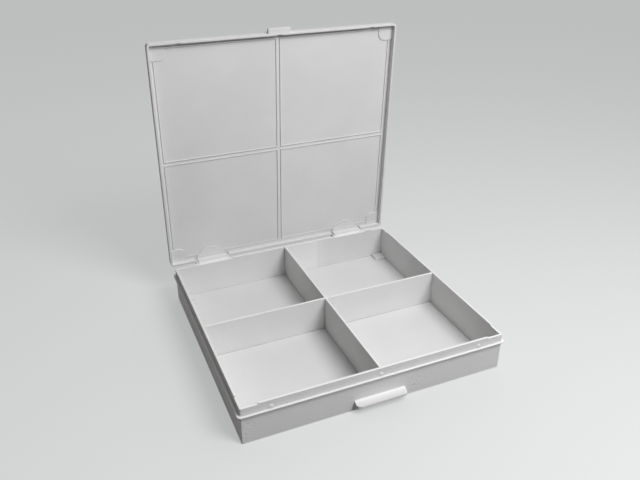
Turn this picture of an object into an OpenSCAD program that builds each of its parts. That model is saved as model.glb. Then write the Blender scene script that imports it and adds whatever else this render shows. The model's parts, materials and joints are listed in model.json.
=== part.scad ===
// Hinged compartment storage box: a tray with a lidded rim, crossed dividers and a lid on two pin hinges.
// The origin is the centre of the tray's underside, +X to the right, +Y to the hinges, +Z up.
// The lid is drawn open, resting on its stop, the way the box stands in use.

/* [Tray] */
// Outer width over the ledge
box_w = 180; // [140:1:240]
// Outer depth over the ledge
box_d = 169; // [130:1:230]
// Height of the rim above the table
rim_h = 27; // [24:0.5:60]
// Height from the top of the ledge to the rim
rim_above_ledge = 6; // [5.5:0.1:7]
// Thickness of the side walls
wall_t = 1.5; // [1.4:0.1:2.4]
// Thickness of the floor
floor_t = 1.5; // [1:0.1:3]
// Outside radius of the upright wall corners
corner_r = 0.8; // [0.8:0.1:3]
// Height of the upright edge of the ledge, above its sloped underside
ledge_edge = 0.6; // [0.3:0.1:1.2]
// Chamfer along the bottom edge
foot_chamfer = 0.3; // [0.2:0.1:0.6]
// Depth of the rim notches at the corners and hinges
notch_drop = 0.8; // [0.7:0.1:1.5]
// Length of the rim notches from each outer wall corner
notch_len = 11; // [8:0.5:16]
// Side of the square corner pads on the floor
floor_pad_size = 8.8; // [5:0.1:14]
// Radius of each floor pad's free corner
floor_pad_r = 1; // [0.5:0.1:4]
// Height of the corner pads above the floor
floor_pad_h = 1.5; // [0.5:0.1:3]

/* [Dividers] */
// Distance of the cross divider behind the middle of the tray
cross_y = 0.8; // [-20:0.1:20]
// Thickness of the dividers
divider_t = 1.4; // [1:0.1:2.4]
// Depth of the grooves that hold the divider ends
groove_depth = 0.6; // [0.3:0.1:0.8]
// Clearance on each side of a divider in its groove and in the crossing
divider_gap = 0.1; // [0.05:0.05:0.25]

/* [Lid] */
// Thickness of the lid's panel
panel_t = 1.4; // [1.2:0.1:3]
// Thickness of the lid's skirt
skirt_t = 1.4; // [1.2:0.1:2]
// Gap between the skirt and the outside of the rim
skirt_gap = 0.3; // [0.3:0.05:0.6]
// Depth of the skirt below the panel
skirt_h = 4.4; // [3.6:0.1:5.2]
// Gap over the rim under the closed panel
rim_gap = 0.3; // [0.2:0.05:0.5]
// Chamfer around the lid's outer edge
lid_chamfer = 0.5; // [0.2:0.1:1]
// Thickness of the sealing ridges
ridge_t = 0.8; // [0.6:0.1:1.2]
// Height of the sealing ridges below the panel
ridge_h = 0.7; // [0.4:0.1:0.8]
// Gap between the edge ridge and the inside of the rim at the front and sides
ridge_rim_gap = 0.4; // [0.3:0.1:1]
// Gap between the edge ridge and the inside of the rim at the back, where the lid swings
ridge_back_gap = 0.7; // [0.7:0.1:1.5]
// Gap between a ridge and the divider beside it
ridge_divider_gap = 0.3; // [0.2:0.05:0.5]
// Side of the square corner pads in the lid
pad_size = 10.8; // [7:0.1:11]
// Radius of each lid pad's free corner
pad_r = 4.8; // [1:0.1:6]
// Height of the lid's pads below the panel
pad_h = 0.7; // [0.4:0.1:0.8]

/* [Grips] */
// Width of the finger ledge on the tray's front
grip_w = 34.5; // [20:0.5:60]
// Reach of the finger ledge
grip_out = 6.2; // [4:0.1:8]
// Height where the finger ledge meets the wall
grip_top = 7.6; // [7.2:0.1:12]
// Height of the finger ledge's lip
grip_lip_top = 7; // [5:0.1:7.5]
// Thickness of the lip
grip_lip_t = 1.5; // [1:0.1:3]
// Depth of the hollow in the ledge's top
grip_scoop = 0.7; // [0.3:0.1:1]
// Radius of the ledge's outer corners, seen from above
grip_r = 3.4; // [1:0.1:4]
// Width of the lid's tab
tab_w = 16; // [10:1:30]
// Reach of the lid's tab
tab_out = 3.4; // [1:0.1:5]
// Thickness of the tab's edge
tab_edge = 1.6; // [0.6:0.1:2]
// Height of the tab's flat underside above the free edge of the skirt
tab_rise = 1; // [0:0.1:1.5]

/* [Snaps] */
// Distance from the lid's sides to the outer snap bumps
bump_inset = 20; // [17:0.5:45]
// Width of a snap bump on the wall
bump_w = 3.2; // [2:0.1:4]
// Reach of a snap bump
bump_out = 0.55; // [0.3:0.05:0.8]
// Height of a bump's centre above the ledge
bump_z = 1.7; // [1.5:0.1:3]
// Clearance of a bump in the skirt's channel
bump_gap = 0.2; // [0.15:0.05:0.3]

/* [Hinges] */
// Distance from the lid's sides to the middle of each hinge
hinge_inset = 32.5; // [30:0.5:45]
// Distance of the hinge axis behind the ledge
hinge_out = 3.2; // [3:0.1:4.5]
// Height of the hinge axis above the top of the ledge
hinge_rise = 0.3; // [0:0.1:0.6]
// Opening angle where the lid rests on its stop
lid_open = 86.5; // [80:0.5:95]
// Width of the lid's knuckle
knuckle_w = 23; // [14:0.5:30]
// Gap between the knuckle and the tray's back wall
knuckle_gap = 0.5; // [0.3:0.05:0.8]
// Thickness of the tray's hinge ears
ear_t = 1.4; // [1:0.1:3]
// Gap on each side of an ear
ear_gap = 0.3; // [0.25:0.05:0.5]
// Material left in an ear around the pin
ear_wall = 2.5; // [2:0.1:2.7]
// Diameter of the hinge pins
pin_d = 3; // [2:0.1:4]
// Radial clearance of the pin in the knuckle
pin_running_gap = 0.08; // [0.02:0.01:0.1]
// Radial clearance of the pin in the ears
pin_ear_gap = 0.02; // [0.01:0.01:0.05]
// Chamfer on the ends of the pins
pin_chamfer = 0.4; // [0.2:0.1:0.6]
// Height of the flat heel on each knuckle that rests on the wall when the lid stands open
heel_h = 3.6; // [2:0.1:3.8]
// Gap left between the knuckle's heel and the wall when the lid stands open
stop_gap = 0.15; // [0.1:0.05:0.3]
// Radius of the half-round pads beside the hinges
hinge_pad_r = 11.8; // [8:0.1:15]
// Distance of the half-round pads' centres behind the lid
hinge_pad_out = 2; // [0:0.1:3]
// Length of the rim notch on each side of a hinge's outer ear faces
hinge_notch_side = 1; // [0.5:0.1:3]

/* [Hidden] */
$fn = 64;
bite = 0.5;

// Plan of the tray and of the lid
ledge_out = skirt_t + skirt_gap;
lid_hw = box_w / 2;
lid_hd = box_d / 2;
lid_r = corner_r + ledge_out;
wall_hw = lid_hw - ledge_out;
wall_hd = lid_hd - ledge_out;
inner_hw = wall_hw - wall_t;
inner_hd = wall_hd - wall_t;
bump_x = lid_hw - bump_inset;
slot_w = divider_t + 2 * divider_gap;

// Heights with the lid closed
ledge_z = rim_h - rim_above_ledge;
notch_z = rim_h - notch_drop;
panel_z = rim_h + rim_gap;
skirt_z = panel_z - skirt_h;
lid_top = panel_z + panel_t;
crossing_z = (floor_t + rim_h) / 2;

// Hinge sizes
hinge_x = lid_hw - hinge_inset;
hinge_y = lid_hd + hinge_out;
hinge_z = ledge_z + hinge_rise;
wall_reach = hinge_y - wall_hd;
knuckle_r = wall_reach - knuckle_gap;
heel_reach = wall_reach - stop_gap;
ear_r = pin_d / 2 + ear_wall;
ear_x = knuckle_w / 2 + ear_gap;
pin_len = 2 * (ear_x + ear_t);
slit_w = ear_t + 2 * ear_gap;
hinge_notch = ear_x + ear_t + hinge_notch_side;

// Ridges that take the divider tops and run round the inside of the rim
groove_hw = divider_t / 2 + ridge_divider_gap;
edge_ridge_x = inner_hw - ridge_rim_gap;
edge_ridge_front = inner_hd - ridge_rim_gap;
edge_ridge_back = inner_hd - ridge_back_gap;
lid_inner_hw = lid_hw - skirt_t;
lid_inner_hd = lid_hd - skirt_t;

print_white = [0.83, 0.83, 0.825];
pin_steel = [0.62, 0.63, 0.65];

// Rectangle with round corners, centred
module round_rect(half_w, half_d, r) {
    square([2 * half_w, 2 * (half_d - r)], center = true);
    square([2 * (half_w - r), 2 * half_d], center = true);
    for (sx = [-1, 1], sy = [-1, 1])
        translate([sx * (half_w - r), sy * (half_d - r)])
            circle(r);
}

// Sweeps a profile round a rectangle with round corners: profile x points outwards from the line, y is up
module ring_sweep(half_w, half_d, r) {
    for (turn = [0, 180]) {
        rotate([0, 0, turn])
            translate([-(half_w - r), -half_d, 0])
                rotate([90, 0, 90])
                    linear_extrude(2 * (half_w - r))
                        mirror([1, 0])
                            children();
        rotate([0, 0, turn])
            translate([half_w, -(half_d - r), 0])
                rotate([90, 0, 0])
                    translate([0, 0, -2 * (half_d - r)])
                        linear_extrude(2 * (half_d - r))
                            children();
    }
    for (sx = [0, 1], sy = [0, 1])
        mirror([sx, 0, 0])
            mirror([0, sy, 0])
                translate([half_w - r, half_d - r, 0])
                    rotate_extrude(angle = 90)
                        translate([r, 0])
                            children();
}

// Extrudes a profile drawn in Y and Z along X, centred on the given place
module along_x(x, w) {
    translate([x - w / 2, 0, 0])
        rotate([90, 0, 90])
            linear_extrude(w)
                children();
}

// Pads in the four corners of a rectangle with round corners, the free corner of each pad rounded too
module corner_pads(half_w, half_d, r, size, free_r, h) {
    linear_extrude(h)
        intersection() {
            round_rect(half_w, half_d, r);
            for (sx = [-1, 1], sy = [-1, 1])
                translate([sx * half_w, sy * half_d])
                    round_rect(size, size, free_r);
        }
}

// Places a copy at each hinge
module at_hinges() {
    for (side = [-1, 1])
        translate([side * hinge_x, 0, 0])
            children();
}

// Bore along X through the hinge axis
module hinge_bore(r, w) {
    translate([-w / 2, hinge_y, hinge_z])
        rotate([0, 90, 0])
            cylinder(r = r, h = w);
}

// Section of the ledge round the tray, rooted in the wall
module ledge_profile() {
    root = -corner_r / 2;
    polygon([
        [root, ledge_z - ledge_edge - ledge_out + root],
        [ledge_out, ledge_z - ledge_edge],
        [ledge_out, ledge_z],
        [root, ledge_z]
    ]);
}

// Section of the cut that bevels the bottom edge
module foot_profile() {
    over = foot_chamfer / 4;
    polygon([
        [-foot_chamfer - over, -over],
        [over, -over],
        [over, foot_chamfer + over]
    ]);
}

// Finger ledge on the front wall, hollowed on top and propped by its sloped underside
module grip() {
    chord = sqrt(pow(grip_out, 2) + pow(grip_top - grip_lip_top, 2));
    scoop_r = (pow(chord / 2, 2) + pow(grip_scoop, 2)) / (2 * grip_scoop);
    lift = (scoop_r - grip_scoop) / chord;
    grip_foot = 2 * foot_chamfer;
    intersection() {
        along_x(0, grip_w)
            difference() {
                polygon([
                    [-wall_hd + bite, grip_foot],
                    [-wall_hd + bite, grip_top],
                    [-wall_hd, grip_top],
                    [-wall_hd - grip_out, grip_lip_top],
                    [-wall_hd - grip_out, grip_lip_top - grip_lip_t],
                    [-wall_hd, grip_foot]
                ]);
                translate([
                    -wall_hd - grip_out / 2 - lift * (grip_top - grip_lip_top),
                    (grip_top + grip_lip_top) / 2 + lift * grip_out
                ])
                    circle(scoop_r);
            }
        translate([0, -wall_hd, 0])
            linear_extrude(grip_top)
                round_rect(grip_w / 2, grip_out, grip_r);
    }
}

// Snap bumps on the front of the rim: shallow caps of a sphere
module bumps() {
    bump_r = (pow(bump_w / 2, 2) + pow(bump_out, 2)) / (2 * bump_out);
    intersection() {
        for (x = [-bump_x, 0, bump_x])
            translate([x, -wall_hd + bump_r - bump_out, ledge_z + bump_z])
                sphere(bump_r);
        translate([-wall_hw, -wall_hd - bump_out, ledge_z])
            cube([2 * wall_hw, bump_out + bite, rim_above_ledge]);
    }
}

// Hinge ear on the back wall: a round eye on a gusset that slopes at 45 degrees
module ear_profile() {
    slope = ear_r * sqrt(0.5);
    drop = hinge_y + slope - wall_hd + bite;
    translate([hinge_y, hinge_z])
        circle(ear_r);
    polygon([
        [wall_hd - bite, hinge_z + ear_r],
        [hinge_y, hinge_z + ear_r],
        [hinge_y + slope, hinge_z - slope],
        [wall_hd - bite, hinge_z - slope - drop]
    ]);
}

module ears() {
    at_hinges()
        difference() {
            for (side = [-1, 1])
                along_x(side * (ear_x + ear_t / 2), ear_t)
                    ear_profile();
            hinge_bore(pin_d / 2 + pin_ear_gap, pin_len);
        }
}

// Cut for a divider that spans the tray along X, into the walls at both ends
module divider_groove(half_len) {
    translate([-half_len - groove_depth, -slot_w / 2, floor_t])
        cube([2 * (half_len + groove_depth), slot_w, rim_h]);
}

// Tray walls and floor with the ledge and the pads, before the rim is cut
module tray_body() {
    difference() {
        union() {
            linear_extrude(rim_h)
                round_rect(wall_hw, wall_hd, corner_r);
            ring_sweep(wall_hw, wall_hd, corner_r)
                ledge_profile();
        }
        translate([-inner_hw, -inner_hd, floor_t])
            cube([2 * inner_hw, 2 * inner_hd, rim_h]);
        ring_sweep(wall_hw, wall_hd, corner_r)
            foot_profile();
    }
    translate([0, 0, floor_t - bite])
        corner_pads(
            inner_hw + bite, inner_hd + bite, bite,
            floor_pad_size + bite, floor_pad_r, floor_pad_h + bite
        );
}

module tray() {
    color(print_white) {
        difference() {
            union() {
                tray_body();
                bumps();
                grip();
            }
            // Rim notches for the lid's corner pads
            for (sx = [-1, 1], sy = [-1, 1])
                translate([sx * wall_hw, sy * wall_hd, notch_z + notch_drop])
                    cube(2 * [notch_len, notch_len, notch_drop], center = true);
            // Rim notch and gap in the ledge for each hinge
            at_hinges() {
                translate([-hinge_notch, inner_hd - bite, notch_z])
                    cube([2 * hinge_notch, wall_t + 2 * bite, 2 * notch_drop]);
                translate([-ear_x, wall_hd, ledge_z - 2 * ledge_out])
                    cube([2 * ear_x, 2 * ledge_out, 3 * ledge_out]);
            }
            // Grooves that hold the divider ends
            rotate([0, 0, 90])
                divider_groove(inner_hd);
            translate([0, cross_y, 0])
                divider_groove(inner_hw);
        }
        ears();
    }
}

// Upright plate along X that spans the tray, with a slot for the other plate where they cross
module divider(half_len, slot_x, slot_bottom, slot_top) {
    plate_hl = half_len + groove_depth - divider_gap;
    difference() {
        translate([-plate_hl, -divider_t / 2, floor_t])
            cube([2 * plate_hl, divider_t, rim_h - floor_t]);
        translate([slot_x - slot_w / 2, -divider_t, slot_bottom])
            cube([slot_w, 2 * divider_t, slot_top - slot_bottom]);
    }
}

module long_divider() {
    color(print_white)
        rotate([0, 0, 90])
            divider(inner_hd, cross_y, crossing_z, rim_h + bite);
}

module cross_divider() {
    color(print_white)
        translate([0, cross_y, 0])
            divider(inner_hw, 0, floor_t - bite, crossing_z + divider_gap);
}

// Section of the lid's skirt and outer edge
module skirt_profile() {
    edge_in = skirt_t + 2 * bite;
    polygon([
        [-skirt_t, skirt_z],
        [0, skirt_z],
        [0, lid_top - lid_chamfer],
        [-lid_chamfer, lid_top],
        [-edge_in, lid_top],
        [-edge_in, panel_z],
        [-skirt_t, panel_z]
    ]);
}

// Ridge below the panel, between two corners of a rectangle
module ridge(x0, x1, y0, y1) {
    translate([x0, y0, panel_z - ridge_h])
        cube([x1 - x0, y1 - y0, ridge_h + bite]);
}

// Ridges round one quarter of the lid, between two places in Y
module quarter_ridges(y0, y1) {
    x0 = groove_hw;
    x1 = edge_ridge_x;
    ridge(x0, x1, y0, y0 + ridge_t);
    ridge(x0, x1, y1 - ridge_t, y1);
    ridge(x0, x0 + ridge_t, y0, y1);
    ridge(x1 - ridge_t, x1, y0, y1);
}

// Half-round pad on the panel beside each hinge
module hinge_pads() {
    at_hinges()
        translate([0, 0, panel_z - pad_h])
            linear_extrude(pad_h + bite)
                intersection() {
                    translate([0, lid_hd + hinge_pad_out])
                        circle(hinge_pad_r);
                    translate([-hinge_pad_r, lid_inner_hd - hinge_pad_r])
                        square([2 * hinge_pad_r, hinge_pad_r + bite]);
                }
}

// Section of a knuckle: the round eye, the web up to the skirt, and the heel that stops the lid
module knuckle_profile() {
    translate([hinge_y, hinge_z]) {
        circle(knuckle_r);
        rotate(lid_open)
            translate([-heel_reach, -heel_h])
                square([heel_reach, heel_h]);
    }
    translate([lid_inner_hd, hinge_z])
        square([hinge_y - lid_inner_hd, knuckle_r]);
}

// Tab on the lid's front edge: flat underneath for a fingertip, sloped on top
module tab() {
    tab_z = skirt_z + tab_rise;
    tab_root = lid_top - lid_chamfer;
    along_x(0, tab_w)
        polygon([
            [-lid_hd + bite, tab_z],
            [-lid_hd - tab_out, tab_z],
            [-lid_hd - tab_out, tab_z + tab_edge],
            [-lid_hd, tab_root],
            [-lid_hd + bite, tab_root]
        ]);
}

// The lid as it lies when shut
module shut_lid() {
    channel_w = bump_w + 2 * bump_gap;
    difference() {
        union() {
            ring_sweep(lid_hw, lid_hd, lid_r)
                skirt_profile();
            translate([0, 0, panel_z])
                linear_extrude(panel_t)
                    round_rect(lid_inner_hw - bite, lid_inner_hd - bite, lid_r - skirt_t - bite);
            for (sx = [0, 1])
                mirror([sx, 0, 0]) {
                    quarter_ridges(cross_y + groove_hw, edge_ridge_back);
                    quarter_ridges(-edge_ridge_front, cross_y - groove_hw);
                }
            translate([0, 0, panel_z - pad_h])
                corner_pads(
                    lid_inner_hw + bite, lid_inner_hd + bite, lid_r - skirt_t + bite,
                    pad_size + bite, pad_r, pad_h + bite
                );
            hinge_pads();
            tab();
        }
        // Slits for the tray's ears
        at_hinges()
            for (side = [-1, 1])
                translate([side * (knuckle_w + slit_w) / 2 - slit_w / 2, lid_inner_hd, skirt_z - bite])
                    cube([slit_w, 2 * skirt_t, panel_z - skirt_z + bite]);
        // Channels for the snap bumps
        for (x = [-bump_x, 0, bump_x])
            translate([x - channel_w / 2, -wall_hd - bump_out - bump_gap, ledge_z])
                cube([channel_w, bump_out + bump_gap, bump_z + channel_w / 2]);
    }
    at_hinges()
        difference() {
            along_x(0, knuckle_w)
                knuckle_profile();
            hinge_bore(pin_d / 2 + pin_running_gap, 2 * knuckle_w);
        }
}

module lid() {
    color(print_white)
        translate([0, hinge_y, hinge_z])
            rotate([-lid_open, 0, 0])
                translate([0, -hinge_y, -hinge_z])
                    shut_lid();
}

// Plain pin with chamfered ends, centred on its hinge
module hinge_pin(x) {
    color(pin_steel)
        translate([x - pin_len / 2, hinge_y, hinge_z])
            rotate([0, 90, 0])
                rotate_extrude()
                    polygon([
                        [0, 0],
                        [pin_d / 2 - pin_chamfer, 0],
                        [pin_d / 2, pin_chamfer],
                        [pin_d / 2, pin_len - pin_chamfer],
                        [pin_d / 2 - pin_chamfer, pin_len],
                        [0, pin_len]
                    ]);
}

module hinge_pin_left() {
    hinge_pin(-hinge_x);
}

module hinge_pin_right() {
    hinge_pin(hinge_x);
}

tray();
long_divider();
cross_divider();
lid();
hinge_pin_left();
hinge_pin_right();
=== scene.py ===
"""Dresses the compartment storage box: printed plastic, steel pins, a studio and the photograph's camera."""
import json
import math

import bpy
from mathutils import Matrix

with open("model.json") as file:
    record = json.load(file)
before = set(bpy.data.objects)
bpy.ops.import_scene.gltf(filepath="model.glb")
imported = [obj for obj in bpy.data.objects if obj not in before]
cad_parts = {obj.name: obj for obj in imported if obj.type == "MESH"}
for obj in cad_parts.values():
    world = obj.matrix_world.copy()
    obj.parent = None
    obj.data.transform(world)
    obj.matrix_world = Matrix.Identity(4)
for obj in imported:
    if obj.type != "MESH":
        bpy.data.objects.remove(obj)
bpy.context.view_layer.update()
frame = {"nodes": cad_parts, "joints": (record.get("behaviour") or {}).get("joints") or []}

# Camera at the photograph's viewing angle, metres and degrees
CAMERA_AT = (-0.15570, -0.35533, 0.28111)
CAMERA_TURN = (61.814, 0.090, -23.110)
CAMERA_LENS = 37.124
SENSOR_WIDTH = 36.0
NEAREST_SEEN = 0.01

# Lamps, metres and watts
LAMP_SIZE = 0.34
LAMP_COLOUR = (1.0, 0.99, 0.995)
MAIN_AT = (0.194, -0.417, 0.520)
MAIN_POWER = 3.7
HIGH_AT = (0.0, -0.275, 0.649)
HIGH_POWER = 0.5

# Soft light all round, plain strengths
RIGHT_FILL = 0.16
BACK_FILL = 1.1
BACK_WAY = (0.5, 0.866, 0.0)
LEFT_FILL = 0.06
WHITE = (1, 1, 1, 1)
WARM = (1.0, 0.80, 0.66, 1)

# Floor and backdrop, metres and linear colours
BACKDROP = 0.49
FLOOR_SIZE = 24.0
FLOOR_DROP = 0.00005
FLOOR_DULL = (0.18, 0.18, 0.18, 1)
FLOOR_PAPER = (0.32, 0.324, 0.324, 1)
FLOOR_GLOW = (0.98, 1.0, 1.0, 1)
GLOW_STRENGTH = 0.42

# Places on the box, metres, as in the part's source
WALL = 0.0015
INNER_X = 0.0868
INNER_Y = 0.0813
WALL_X = INNER_X + WALL
WALL_Y = INNER_Y + WALL
FLOOR_TOP = 0.0015
DIVIDER_HALF = 0.0007
CROSS_Y = 0.0008
SNAP_BUMP_LOW = 0.0217
SNAP_BUMP_HIGH = 0.0257
# Heights over which the painted highlight on upward faces fades in
TOP_HIGHLIGHT_FROM = 0.0200
TOP_HIGHLIGHT_FULL = 0.0205
LID_OPEN = math.radians(frame["joints"][0]["range_deg"][1])

# Print settings that show in the plastic, and where painted light and shade reach on it, metres
LAYER = 0.0002
RASTER = 0.00045
RIPPLE = 0.0016
RIPPLE_FADE = 0.0042
RIPPLE_RISE = 0.0004
RIPPLE_START = 0.027
# Length over which the painted shade on the back wall fades in
SHADE_ZONE_LENGTH = 0.012
# Width of the painted shade along the floor's joints
JOINT_SHADE_WIDTH = 0.0004
# Reach and rays of the occlusion node that paints shade into creases
CREASE_REACH = 0.0012
CREASE_RAYS = 16

# Unevenness of the layers, radians of a layer's turn
LAYER_DRIFT = 3.0

# How near to a face a mark on it begins and ends, metres
FACE_NEAR = 0.0001
FACE_SOFT = 0.0002
FACE_FAR = 0.0004
PROUD_FROM = 0.00005
# Where the painted pool of light on the back wall begins and how soft its edges are, metres
LIGHT_ZONE_START = 0.001
LIGHT_ZONE_SOFT = 0.0006

# Rough patches on the front wall: the spans in x and z and their soft ends, metres
CORNER_PATCH = ((-0.090, -0.080, 0.006), (0.0, 0.016, 0.004))
GRIP_PATCH = ((0.0185, 0.030, 0.004), (0.0035, 0.0115, 0.003))

# How squarely a face looks along an axis before it counts as facing that way
FLAT = (0.75, 0.95)
SQUARE = (0.8, 0.95)
LID_SQUARE = (0.4, 0.8)
ROUNDED = (0.98, 0.88)
UPWARD = (0.3, 0.6)
BUMP_TOPS = (-0.2, 0.2)

# Noise in the plastic: repeats in a metre, then its detail and roughness
DRIFT = (25, 25, 900)
STREAKS = (18, 18, 3200)
LANES = 260.0
BED_GRAIN = 2200.0
CLOUD = 28.0
BAND = (4, 4, 420)
GLOSS_PATCHES = 120.0
ROUGH_GRAIN = (520, 520, 1500)
ROUGH_AREAS = 210.0
FINE_DETAIL = 3.0
STREAK_ROUGH = 0.6
GRAIN_ROUGH = 0.7

# Parts of each noise's range, or of the open sky over a crease, that are used
TONE_RANGE = (0.3, 0.7)
GLOSS_RANGE = (0.25, 0.75)
ROUGH_RANGE = (0.36, 0.64)
AREA_RANGE = (0.28, 0.56)
STEEL_RANGE = (0.2, 0.8)
CREASE_RANGE = (0.85, 0.45)

# Shares of the marks in the bump's height
BUMP_STRENGTH = 0.5
BUMP_DEPTH = 0.00006
BEAD_HEIGHT = 0.6
STREAK_HEIGHT = 1.6
RASTER_HEIGHT = 0.5
LANE_HEIGHT = 0.8
BED_HEIGHT = 0.5
CORNER_HEIGHT = 0.8
HINGE_HEIGHT = 3.0
ROUGH_HEIGHT = 1.6

# Filament colour at both ends of its drift, linear, and where each mark, painted light or painted shade lies
# between them
FILAMENT_LOW = (0.63, 0.632, 0.631, 1)
FILAMENT_HIGH = (0.88, 0.883, 0.88, 1)
CLOUD_TONE = (0.37, 0.49)
BAND_TONE = (-0.03, 0.03)
# Painted highlight on upward faces near the top
TOP_HIGHLIGHT_TONE = 0.45
# Painted highlight on the snap bumps
SNAP_HIGHLIGHT_TONE = 0.35
# Painted pool of light and painted shade on the back wall
LIGHT_ZONE_TONE = 0.20
SHADE_ZONE_TONE = -0.20
# Painted light stripes along the back wall's ripple
RIPPLE_LIGHT_TONE = 0.30
ROUGH_TONE = 0.75
# Painted light on the lid's upright faces
LID_END_LIGHT_TONE = 0.32
LID_SIDE_LIGHT_TONE = 0.16
# Painted highlight on rounded edges
EDGE_HIGHLIGHT_TONE = 0.35
JOINT_SHADE = (0.40, 0.395, 0.39, 1)
# Share of the painted shade in creases
CREASE_SHADE_SHARE = 0.8
PLASTIC_GLOSS = (0.36, 0.46)
PLASTIC_IOR = 1.46

# Steel of the pins
STEEL_LOW = (0.46, 0.47, 0.49, 1)
STEEL_HIGH = (0.62, 0.63, 0.65, 1)
STEEL_MARKS = (9000, 300, 300)
STEEL_GLOSS = (0.28, 0.42)
STEEL_BUMP = 0.2
STEEL_DEPTH = 0.00002

# Rounding of edges: widths, and where on the tray and lid it applies at rest, metres
TRAY_EDGE = 0.00025
DIVIDER_EDGE = 0.0003
LID_EDGE = 0.0002
PIN_EDGE = 0.0001
EDGE_STEPS = 3
EDGE_ANGLE = math.radians(35)
RIM_EDGES = 0.0255
LID_EDGES = 0.034
LID_OUTWARD = (0.0, math.sin(LID_OPEN), math.cos(LID_OPEN))
LID_FACE = 0.0956
WELD_REACH = 0.000002
PLANE_ANGLE = math.radians(0.6)
NORMAL_WEIGHT = 100


class Graph:
    """Short hand for building a node tree."""

    def __init__(self, tree):
        self.nodes = tree.nodes
        self.links = tree.links
        self.nodes.clear()

    def add(self, kind, inputs=None, **settings):
        node = self.nodes.new(kind)
        for key, value in settings.items():
            setattr(node, key, value)
        for key, value in (inputs or {}).items():
            self.feed(node.inputs[key], value)
        return node

    def feed(self, socket, value):
        if isinstance(value, bpy.types.NodeSocket):
            self.links.new(value, socket)
        else:
            socket.default_value = value

    def math(self, operation, a, b=0.0, c=0.0):
        node = self.add("ShaderNodeMath", {0: a, 1: b, 2: c}, operation=operation)
        return node.outputs[0]

    def product(self, *values):
        total = values[0]
        for value in values[1:]:
            total = self.math("MULTIPLY", total, value)
        return total

    def total(self, *values):
        result = values[0]
        for value in values[1:]:
            result = self.math("ADD", result, value)
        return result

    def remap(self, value, low, high, to_low=0.0, to_high=1.0):
        node = self.add(
            "ShaderNodeMapRange",
            {"Value": value, "From Min": low, "From Max": high, "To Min": to_low, "To Max": to_high},
            interpolation_type="SMOOTHSTEP",
        )
        return node.outputs["Result"]

    def span(self, value, low, high, soft):
        """One between two limits, with soft ends."""
        rise = self.remap(value, low - soft, low + soft)
        fall = self.remap(value, high + soft, high - soft)
        return self.math("MULTIPLY", rise, fall)

    def facing_along(self, part, limits):
        """One where the normal's part along an axis is large either way, zero where it is small."""
        return self.remap(self.math("ABSOLUTE", part), *limits)

    def noise(self, vector, scale, detail=2.0, rough=0.5):
        node = self.add(
            "ShaderNodeTexNoise",
            {"Vector": vector, "Scale": scale, "Detail": detail, "Roughness": rough},
        )
        return node.outputs["Fac"]

    def stretched_noise(self, vector, factors, detail=2.0, rough=0.5):
        stretched = self.add("ShaderNodeVectorMath", {0: vector, 1: factors}, operation="MULTIPLY")
        return self.noise(stretched.outputs[0], 1.0, detail, rough)

    def mix(self, factor, a, b):
        return self.add("ShaderNodeMix", {"Factor": factor, "A": a, "B": b}).outputs["Result"]

    def blend(self, factor, a, b):
        node = self.add("ShaderNodeMix", {"Factor": factor, "A": a, "B": b}, data_type="RGBA")
        return node.outputs["Result"]


def new_material(name):
    material = bpy.data.materials.new(name)
    material.use_nodes = True
    return material, Graph(material.node_tree)


def ripple(g, distance):
    """Ringing that the print head leaves past a corner, fading with the distance from it."""
    wave = g.math("SINE", g.math("MULTIPLY", distance, 2 * math.pi / RIPPLE))
    fade = g.math("EXPONENT", g.math("MULTIPLY", distance, -1 / RIPPLE_FADE))
    begun = g.remap(distance, 0.0, RIPPLE_RISE)
    return g.product(wave, fade, begun)


def rough_patches(g, at, place):
    """Pitted print on the front wall, at its left corner and beside the finger ledge."""
    on_front = g.remap(at[1], -WALL_Y + FACE_FAR, -WALL_Y + FACE_NEAR)
    areas = [
        g.product(g.span(at[0], *across), g.span(at[2], *up))
        for across, up in (CORNER_PATCH, GRIP_PATCH)
    ]
    ragged = g.remap(g.noise(place, ROUGH_AREAS), *AREA_RANGE)
    grain = g.remap(g.stretched_noise(place, ROUGH_GRAIN, rough=GRAIN_ROUGH), *ROUGH_RANGE, -1.0, 1.0)
    return g.product(on_front, g.total(*areas), ragged, grain)


def floor_joint_shade(g, at, facing):
    """Painted shade: one along the line where the tray's floor meets a wall or a divider, where shade falls.
    """
    from_cross = g.math("ABSOLUTE", g.math("SUBTRACT", at[1], CROSS_Y))
    gaps = (
        g.math("SUBTRACT", INNER_X, g.math("ABSOLUTE", at[0])),
        g.math("SUBTRACT", INNER_Y, g.math("ABSOLUTE", at[1])),
        g.math("SUBTRACT", g.math("ABSOLUTE", at[0]), DIVIDER_HALF),
        g.math("SUBTRACT", from_cross, DIVIDER_HALF),
    )
    nearest = gaps[0]
    for gap in gaps[1:]:
        nearest = g.math("MINIMUM", nearest, gap)
    on_floor = g.span(at[2], FLOOR_TOP - FACE_SOFT, FLOOR_TOP + FACE_SOFT, FACE_NEAR)
    return g.product(on_floor, g.remap(facing[2], *SQUARE), g.remap(nearest, JOINT_SHADE_WIDTH, 0.0))


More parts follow.
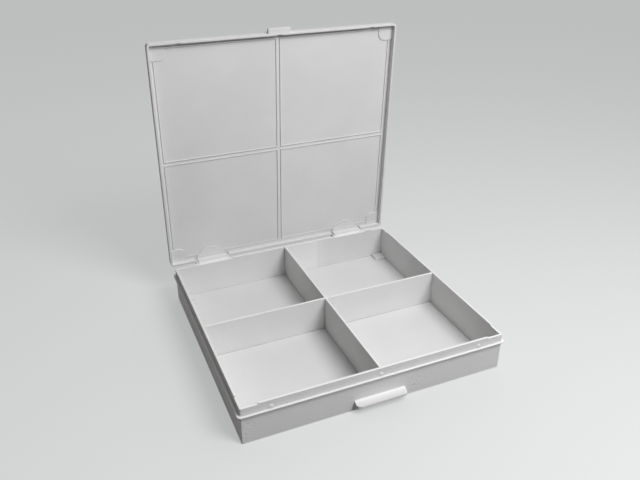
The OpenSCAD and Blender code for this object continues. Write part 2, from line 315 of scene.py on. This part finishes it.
def tray_marks_and_light(g, at, facing, place):
    """Marks on the tray: ringing past the corners and rough patches; painted highlights on the snap bumps; a
    painted pool of light, painted shade and painted light stripes on the back wall; painted shade along the
    floor's joints.
    """
    faces_x = g.facing_along(facing[0], SQUARE)
    faces_y = g.facing_along(facing[1], SQUARE)
    from_side = g.math("SUBTRACT", WALL_X, g.math("ABSOLUTE", at[0]))
    from_end = g.math("SUBTRACT", WALL_Y, g.math("ABSOLUTE", at[1]))
    corners = g.total(
        g.product(ripple(g, from_side), faces_y),
        g.product(ripple(g, from_end), faces_x),
    )
    on_back = g.product(faces_y, g.span(at[1], INNER_Y - FACE_FAR, INNER_Y + FACE_FAR, FACE_SOFT))
    # On the back wall past x 27 mm: a ripple in the bump, and the same ripple as painted light stripes in the
    # colour
    ripple_and_light_stripes = g.product(ripple(g, g.math("SUBTRACT", at[0], RIPPLE_START)), on_back)
    # Painted light: a pool of light on the back wall between the long divider and x 27 mm, then painted shade
    # fading in beyond it
    painted_light_zone = g.product(g.span(at[0], LIGHT_ZONE_START, RIPPLE_START, LIGHT_ZONE_SOFT), on_back)
    painted_shade_zone = g.product(g.remap(at[0], RIPPLE_START, RIPPLE_START + SHADE_ZONE_LENGTH), on_back)
    rough = rough_patches(g, at, place)
    # Painted highlight: the snap bumps' upper faces are painted paler, where light catches them
    snap_bump_highlight = g.product(
        g.remap(at[1], -WALL_Y - PROUD_FROM, -WALL_Y - FACE_SOFT),
        g.span(at[2], SNAP_BUMP_LOW, SNAP_BUMP_HIGH, FACE_SOFT),
        g.remap(facing[2], *BUMP_TOPS),
    )
    height = g.total(
        g.math("MULTIPLY", corners, CORNER_HEIGHT),
        g.math("MULTIPLY", ripple_and_light_stripes, HINGE_HEIGHT),
        g.math("MULTIPLY", rough, ROUGH_HEIGHT),
    )
    tone = g.total(
        g.math("MULTIPLY", snap_bump_highlight, SNAP_HIGHLIGHT_TONE),
        g.math("MULTIPLY", painted_light_zone, LIGHT_ZONE_TONE),
        g.math("MULTIPLY", painted_shade_zone, SHADE_ZONE_TONE),
        g.math("MULTIPLY", ripple_and_light_stripes, RIPPLE_LIGHT_TONE),
        g.math("MULTIPLY", rough, ROUGH_TONE),
    )
    return height, tone, floor_joint_shade(g, at, facing)


def lid_painted_light(g, at, facing, place):
    """Painted light: the lid's upright faces are painted paler than its flat ones, as if more light fell on
    them.
    """
    frontward = g.math("MULTIPLY", facing[1], -1.0)
    lit_ends = g.math("MULTIPLY", g.remap(frontward, *LID_SQUARE), LID_END_LIGHT_TONE)
    lit_sides = g.math("MULTIPLY", g.facing_along(facing[0], LID_SQUARE), LID_SIDE_LIGHT_TONE)
    return 0.0, g.math("ADD", lit_ends, lit_sides), 0.0


def no_marks(g, at, facing, place):
    return 0.0, 0.0, 0.0


def print_lines(g, at, facing, place, bed_up):
    """Height of the print's lines: layers on upright faces, raster on flat ones, fine grain off the bed."""
    drift = g.stretched_noise(place, DRIFT)
    phase = g.math("MULTIPLY_ADD", at[2], 2 * math.pi / LAYER, g.math("MULTIPLY", drift, LAYER_DRIFT))
    beads = g.math("MULTIPLY", g.math("SINE", phase), BEAD_HEIGHT)
    streaks = g.stretched_noise(place, STREAKS, FINE_DETAIL, STREAK_ROUGH)
    layers = g.math("MULTIPLY_ADD", streaks, STREAK_HEIGHT, beads)

    # The raster runs at 45 degrees
    diagonal = g.math("ADD", at[0], at[1])
    raster = g.math("SINE", g.math("MULTIPLY", diagonal, math.sqrt(2) * math.pi / RASTER))
    lanes = g.noise(place, LANES)
    tops = g.math("MULTIPLY_ADD", lanes, LANE_HEIGHT, g.math("MULTIPLY", raster, RASTER_HEIGHT))
    grain = g.math("MULTIPLY", g.noise(place, BED_GRAIN), BED_HEIGHT)

    bed_side = 1 if bed_up else -1
    off_bed = g.remap(facing[2], *(bed_side * limit for limit in FLAT))
    printed = g.mix(g.facing_along(facing[2], FLAT), layers, tops)
    return g.mix(off_bed, printed, grain)


def filament_tone(g, at, facing, place):
    """Place between the two filament colours: it drifts, varies between layers, and upward faces near the top
    get a painted highlight.
    """
    cloud = g.noise(place, CLOUD, FINE_DETAIL)
    band = g.stretched_noise(place, BAND)
    # Painted highlight: upward faces near the top are painted paler, as if lit more from above
    top_highlight = g.product(
        g.remap(facing[2], *UPWARD),
        g.remap(at[2], TOP_HIGHLIGHT_FROM, TOP_HIGHLIGHT_FULL),
    )
    return g.total(
        g.remap(cloud, *TONE_RANGE, *CLOUD_TONE),
        g.remap(band, *TONE_RANGE, *BAND_TONE),
        g.math("MULTIPLY", top_highlight, TOP_HIGHLIGHT_TONE),
    )


def printed_plastic(name, turn=0.0, bed_up=False, marks=no_marks):
    """Off-white filament; turn brings a piece's own upright axis back to the way that it was printed."""
    material, g = new_material(name)
    coords = g.add("ShaderNodeTexCoord")
    place = coords.outputs["Object"]
    normal = coords.outputs["Normal"]
    if turn:
        spin = {"Axis": (1, 0, 0), "Angle": turn}
        place = g.add("ShaderNodeVectorRotate", {"Vector": place, **spin}).outputs[0]
        normal = g.add("ShaderNodeVectorRotate", {"Vector": normal, **spin}).outputs[0]
    at = g.add("ShaderNodeSeparateXYZ", {0: place}).outputs
    facing = g.add("ShaderNodeSeparateXYZ", {0: normal}).outputs

    extra_height, extra_tone, joint_shade = marks(g, at, facing, place)
    height = g.math("ADD", print_lines(g, at, facing, place, bed_up), extra_height)
    tone = g.math("ADD", filament_tone(g, at, facing, place), extra_tone)

    # Rounded edges get a painted highlight, a paler colour, and creases on flat faces get painted shade
    sizes = [g.math("ABSOLUTE", part) for part in facing]
    largest = g.math("MAXIMUM", g.math("MAXIMUM", sizes[0], sizes[1]), sizes[2])
    tone = g.math("MULTIPLY_ADD", g.remap(largest, *ROUNDED), EDGE_HIGHLIGHT_TONE, tone)
    # Painted shade: an occlusion node darkens the colour in creases of flat faces, where shade falls
    near = g.add(
        "ShaderNodeAmbientOcclusion",
        {"Distance": CREASE_REACH},
        samples=CREASE_RAYS,
        only_local=True,
    )
    hidden = g.remap(near.outputs["AO"], *CREASE_RANGE, 0.0, CREASE_SHADE_SHARE)
    crease_shade = g.product(g.facing_along(facing[2], FLAT), hidden)
    colour = g.blend(tone, FILAMENT_LOW, FILAMENT_HIGH)
    # Painted shade along the floor's joints
    colour = g.blend(joint_shade, colour, JOINT_SHADE)
    colour = g.blend(crease_shade, colour, JOINT_SHADE)

    bump = g.add("ShaderNodeBump", {"Height": height, "Strength": BUMP_STRENGTH, "Distance": BUMP_DEPTH})
    shader = g.add(
        "ShaderNodeBsdfPrincipled",
        {
            "Base Color": colour,
            "Roughness": g.remap(g.noise(place, GLOSS_PATCHES, FINE_DETAIL), *GLOSS_RANGE, *PLASTIC_GLOSS),
            "Normal": bump.outputs[0],
            "IOR": PLASTIC_IOR,
        },
    )
    g.add("ShaderNodeOutputMaterial", {"Surface": shader.outputs[0]})
    return material


def ground_steel(name):
    """Plain steel stock, with fine marks around the pin."""
    material, g = new_material(name)
    place = g.add("ShaderNodeTexCoord").outputs["Object"]
    marks = g.stretched_noise(place, STEEL_MARKS)
    bump = g.add("ShaderNodeBump", {"Height": marks, "Strength": STEEL_BUMP, "Distance": STEEL_DEPTH})
    shader = g.add(
        "ShaderNodeBsdfPrincipled",
        {
            "Base Color": g.blend(marks, STEEL_LOW, STEEL_HIGH),
            "Metallic": 1.0,
            "Roughness": g.remap(marks, *STEEL_RANGE, *STEEL_GLOSS),
            "Normal": bump.outputs[0],
        },
    )
    g.add("ShaderNodeOutputMaterial", {"Surface": shader.outputs[0]})
    return material


def modifier_nodes(name):
    """An empty modifier tree with one mesh in and one mesh out."""
    tree = bpy.data.node_groups.new(name, "GeometryNodeTree")
    for way in ("INPUT", "OUTPUT"):
        tree.interface.new_socket("Geometry", in_out=way, socket_type="NodeSocketGeometry")
    return tree, Graph(tree)


def edge_choice(lowest, outward, furthest):
    """Marks the outer edges above a height, or beyond a distance along a direction, for rounding."""
    tree, g = modifier_nodes("edge_choice")
    place = g.add("GeometryNodeInputPosition").outputs[0]
    height = g.add("ShaderNodeSeparateXYZ", {0: place}).outputs[2]
    angle = g.add("GeometryNodeInputMeshEdgeAngle").outputs["Signed Angle"]
    reach = g.add("ShaderNodeVectorMath", {0: place, 1: outward}, operation="DOT_PRODUCT").outputs["Value"]
    zone = g.math(
        "MAXIMUM",
        g.math("GREATER_THAN", height, lowest),
        g.math("GREATER_THAN", reach, furthest),
    )
    chosen = g.product(zone, g.math("GREATER_THAN", angle, EDGE_ANGLE))
    stored = g.add(
        "GeometryNodeStoreNamedAttribute",
        {"Geometry": g.add("NodeGroupInput").outputs[0], "Name": "bevel_weight_edge", "Value": chosen},
        data_type="FLOAT",
        domain="EDGE",
    )
    g.add("NodeGroupOutput", {0: stored.outputs[0]})
    return tree


def edge_shading():
    """Shades gentle edges smooth and keeps the others sharp."""
    tree, g = modifier_nodes("edge_shading")
    angle = g.add("GeometryNodeInputMeshEdgeAngle").outputs["Unsigned Angle"]
    bent = g.math("GREATER_THAN", angle, EDGE_ANGLE)
    mesh = g.add("NodeGroupInput").outputs[0]
    smooth = g.add("GeometryNodeSetShadeSmooth", {0: mesh, "Shade Smooth": True}, domain="FACE")
    kept = g.add(
        "GeometryNodeSetShadeSmooth",
        {0: smooth.outputs[0], "Selection": bent, "Shade Smooth": False},
        domain="EDGE",
    )
    g.add("NodeGroupOutput", {0: kept.outputs[0]})
    return tree


def dress(node, material, edge, lowest=-1.0, outward=(0.0, 0.0, 1.0), furthest=1.0):
    """Gives a CAD node its material and rounds its outer edges, by default all of them."""
    piece = frame["nodes"][node]
    piece.data.materials.clear()
    piece.data.materials.append(material)
    weld = piece.modifiers.new("weld", "WELD")
    weld.merge_threshold = WELD_REACH
    planes = piece.modifiers.new("planes", "DECIMATE")
    planes.decimate_type = "DISSOLVE"
    planes.angle_limit = PLANE_ANGLE
    choice = piece.modifiers.new("choice", "NODES")
    choice.node_group = edge_choice(lowest, outward, furthest)
    bevel = piece.modifiers.new("edges", "BEVEL")
    bevel.width = edge
    bevel.segments = EDGE_STEPS
    bevel.limit_method = "WEIGHT"
    bevel.use_clamp_overlap = False
    shading = piece.modifiers.new("shading", "NODES")
    shading.node_group = edge_shading()
    normals = piece.modifiers.new("normals", "WEIGHTED_NORMAL")
    normals.keep_sharp = True
    normals.weight = NORMAL_WEIGHT


def seen_rays(g):
    """One for rays that show the backdrop, zero for rays that light the object."""
    path = g.add("ShaderNodeLightPath").outputs
    seen = g.math("MAXIMUM", path["Is Camera Ray"], path["Is Glossy Ray"])
    return g.math("MAXIMUM", seen, path["Is Transmission Ray"])


def floor():
    """A pale sheet that keeps the object's shadow and throws little light back on it."""
    bpy.ops.mesh.primitive_plane_add(size=FLOOR_SIZE, location=(0, 0, -FLOOR_DROP))
    sheet = bpy.context.object
    sheet.name = "floor"
    material, g = new_material("floor_paper")
    dull = g.add("ShaderNodeBsdfDiffuse", {"Color": FLOOR_DULL})
    paper = g.add("ShaderNodeBsdfDiffuse", {"Color": FLOOR_PAPER})
    glow = g.add("ShaderNodeEmission", {"Color": FLOOR_GLOW, "Strength": GLOW_STRENGTH})
    pale = g.add("ShaderNodeAddShader", {0: paper.outputs[0], 1: glow.outputs[0]})
    mixed = g.add("ShaderNodeMixShader", {0: seen_rays(g), 1: dull.outputs[0], 2: pale.outputs[0]})
    g.add("ShaderNodeOutputMaterial", {"Surface": mixed.outputs[0]})
    sheet.data.materials.append(material)


def sky():
    """Soft light from behind and from the right, and a weak, warmer one from the left."""
    world = bpy.data.worlds.new("sky")
    bpy.context.scene.world = world
    world.use_nodes = True
    g = Graph(world.node_tree)
    towards = g.add("ShaderNodeTexCoord").outputs["Generated"]

    def growing(way, strength):
        along = g.add("ShaderNodeVectorMath", {0: towards, 1: way}, operation="DOT_PRODUCT")
        return g.add(
            "ShaderNodeMapRange",
            {"Value": along.outputs["Value"], "From Min": 0.0, "To Min": 0.0, "To Max": strength},
        ).outputs["Result"]

    level = g.math("ADD", growing((1, 0, 0), RIGHT_FILL), growing(BACK_WAY, BACK_FILL))
    plain = g.add("ShaderNodeBackground", {"Color": WHITE, "Strength": level})
    warm = g.add("ShaderNodeBackground", {"Color": WARM, "Strength": growing((-1, 0, 0), LEFT_FILL)})
    light = g.add("ShaderNodeAddShader", {0: plain.outputs[0], 1: warm.outputs[0]})
    seen = g.add("ShaderNodeBackground", {"Color": WHITE, "Strength": BACKDROP})
    mixed = g.add("ShaderNodeMixShader", {0: seen_rays(g), 1: light.outputs[0], 2: seen.outputs[0]})
    g.add("ShaderNodeOutputWorld", {"Surface": mixed.outputs[0]})


def lamp(name, at, power):
    """A round softbox that looks at the origin."""
    data = bpy.data.lights.new(name, "AREA")
    data.shape = "DISK"
    data.size = LAMP_SIZE
    data.energy = power
    data.color = LAMP_COLOUR
    softbox = bpy.data.objects.new(name, data)
    softbox.location = at
    x, y, z = at
    softbox.rotation_euler = (math.atan2(math.hypot(x, y), z), 0.0, math.atan2(x, -y))
    bpy.context.collection.objects.link(softbox)


def camera():
    data = bpy.data.cameras.new("camera")
    data.sensor_fit = "HORIZONTAL"
    data.sensor_width = SENSOR_WIDTH
    data.lens = CAMERA_LENS
    data.clip_start = NEAREST_SEEN
    eye = bpy.data.objects.new("camera", data)
    eye.location = CAMERA_AT
    eye.rotation_euler = [math.radians(angle) for angle in CAMERA_TURN]
    bpy.context.collection.objects.link(eye)
    bpy.context.scene.camera = eye


plastic = printed_plastic("printed_plastic")
tray_plastic = printed_plastic("printed_plastic_tray", marks=tray_marks_and_light)
lid_plastic = printed_plastic("printed_plastic_lid", turn=LID_OPEN, bed_up=True, marks=lid_painted_light)
steel = ground_steel("pin_steel")
dress("tray", tray_plastic, TRAY_EDGE, RIM_EDGES)
for node in ("long_divider", "cross_divider"):
    dress(node, plastic, DIVIDER_EDGE)
dress("lid", lid_plastic, LID_EDGE, LID_EDGES, LID_OUTWARD, LID_FACE)
for node in ("hinge_pin_left", "hinge_pin_right"):
    dress(node, steel, PIN_EDGE)
floor()
sky()
lamp("main_softbox", MAIN_AT, MAIN_POWER)
lamp("high_softbox", HIGH_AT, HIGH_POWER)
camera()
bpy.context.scene.view_settings.view_transform = "Standard"
